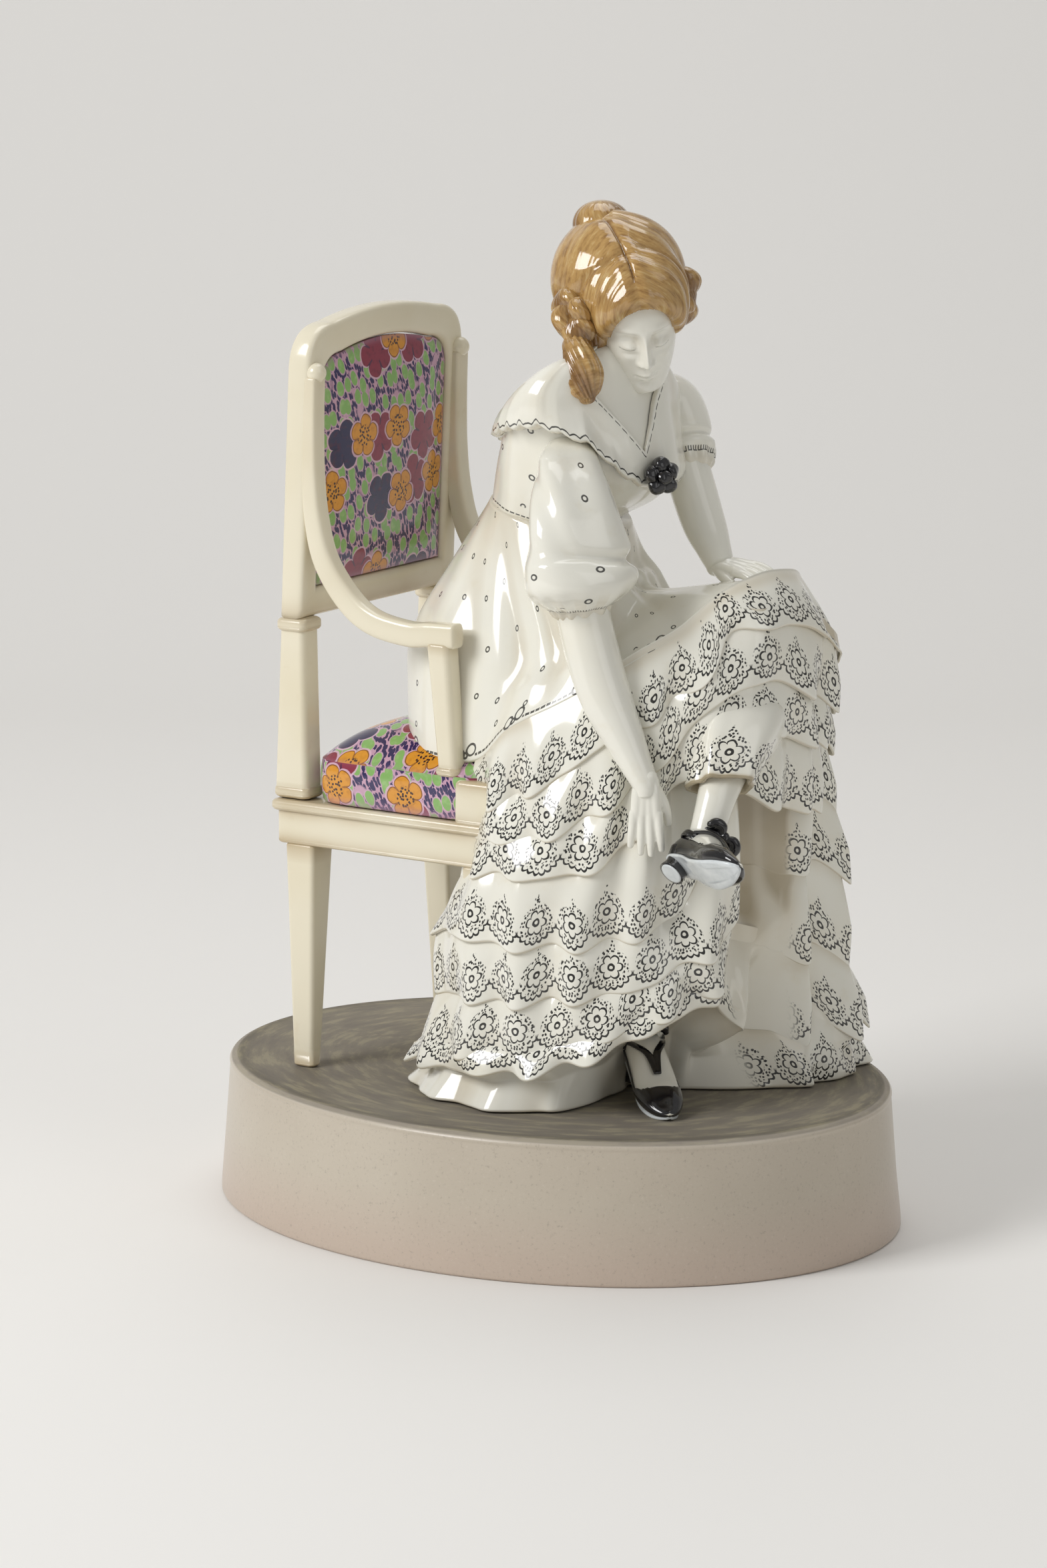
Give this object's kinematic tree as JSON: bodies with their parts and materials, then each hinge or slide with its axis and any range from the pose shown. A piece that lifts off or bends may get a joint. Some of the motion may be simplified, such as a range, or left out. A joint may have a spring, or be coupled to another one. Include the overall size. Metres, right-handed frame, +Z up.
{
  "type": "dancer figurine",
  "caption": "Glazed ceramic figure group of a seated lady in a flounced lace dress who reaches for her shoe, on an upholstered armchair and an oval plinth.",
  "frame": {"origin": "middle of the plinth's foot, on the surface that the group stands on", "axes": "+X the way the chair faces and the plinth's long axis, +Y the lady's left side, +Z up"},
  "size_m": [0.246, 0.195, 0.3412],
  "materials": {
    "plinth_glaze": "satin speckled grey-brown glaze",
    "ivory_glaze": "glossy ivory glaze",
    "white_glaze": "glossy warm white glaze with painted ornament",
    "upholstery_glaze": "glossy glaze with a painted flower pattern",
    "hair_glaze": "glossy caramel brown glaze",
    "black_glaze": "glossy black glaze"
  },
  "bodies": {
    "root": {"plinth": "plinth_glaze", "seat_frame": "ivory_glaze", "back_frame": "ivory_glaze", "back_panel": "upholstery_glaze", "seat_cushion": "upholstery_glaze", "rear_leg_near": "ivory_glaze", "rear_leg_far": "ivory_glaze", "front_leg_near": "ivory_glaze", "front_leg_far": "ivory_glaze", "back_stile_near": "ivory_glaze", "back_stile_far": "ivory_glaze", "arm_post_near": "ivory_glaze", "arm_post_far": "ivory_glaze", "arm_rail_near": "ivory_glaze", "arm_rail_far": "ivory_glaze", "arm_knob_near": "ivory_glaze", "arm_knob_far": "ivory_glaze", "petticoat": "white_glaze", "flounced_skirt": "white_glaze", "skirt_yoke": "white_glaze", "bodice": "white_glaze", "collar": "white_glaze", "right_sleeve": "white_glaze", "left_sleeve": "white_glaze", "right_arm": "white_glaze", "left_arm": "white_glaze", "right_hand": "white_glaze", "left_hand": "white_glaze", "left_leg": "white_glaze", "right_leg": "white_glaze", "head": "white_glaze", "hair": "hair_glaze", "hair_bun": "hair_glaze", "side_curls_right": "hair_glaze", "side_curls_left": "hair_glaze", "ringlet": "hair_glaze", "rosette": "black_glaze", "left_shoe": "black_glaze", "right_shoe": "black_glaze", "left_shoe_bow": "black_glaze", "right_shoe_bow": "black_glaze"}
  },
  "joints": []
}
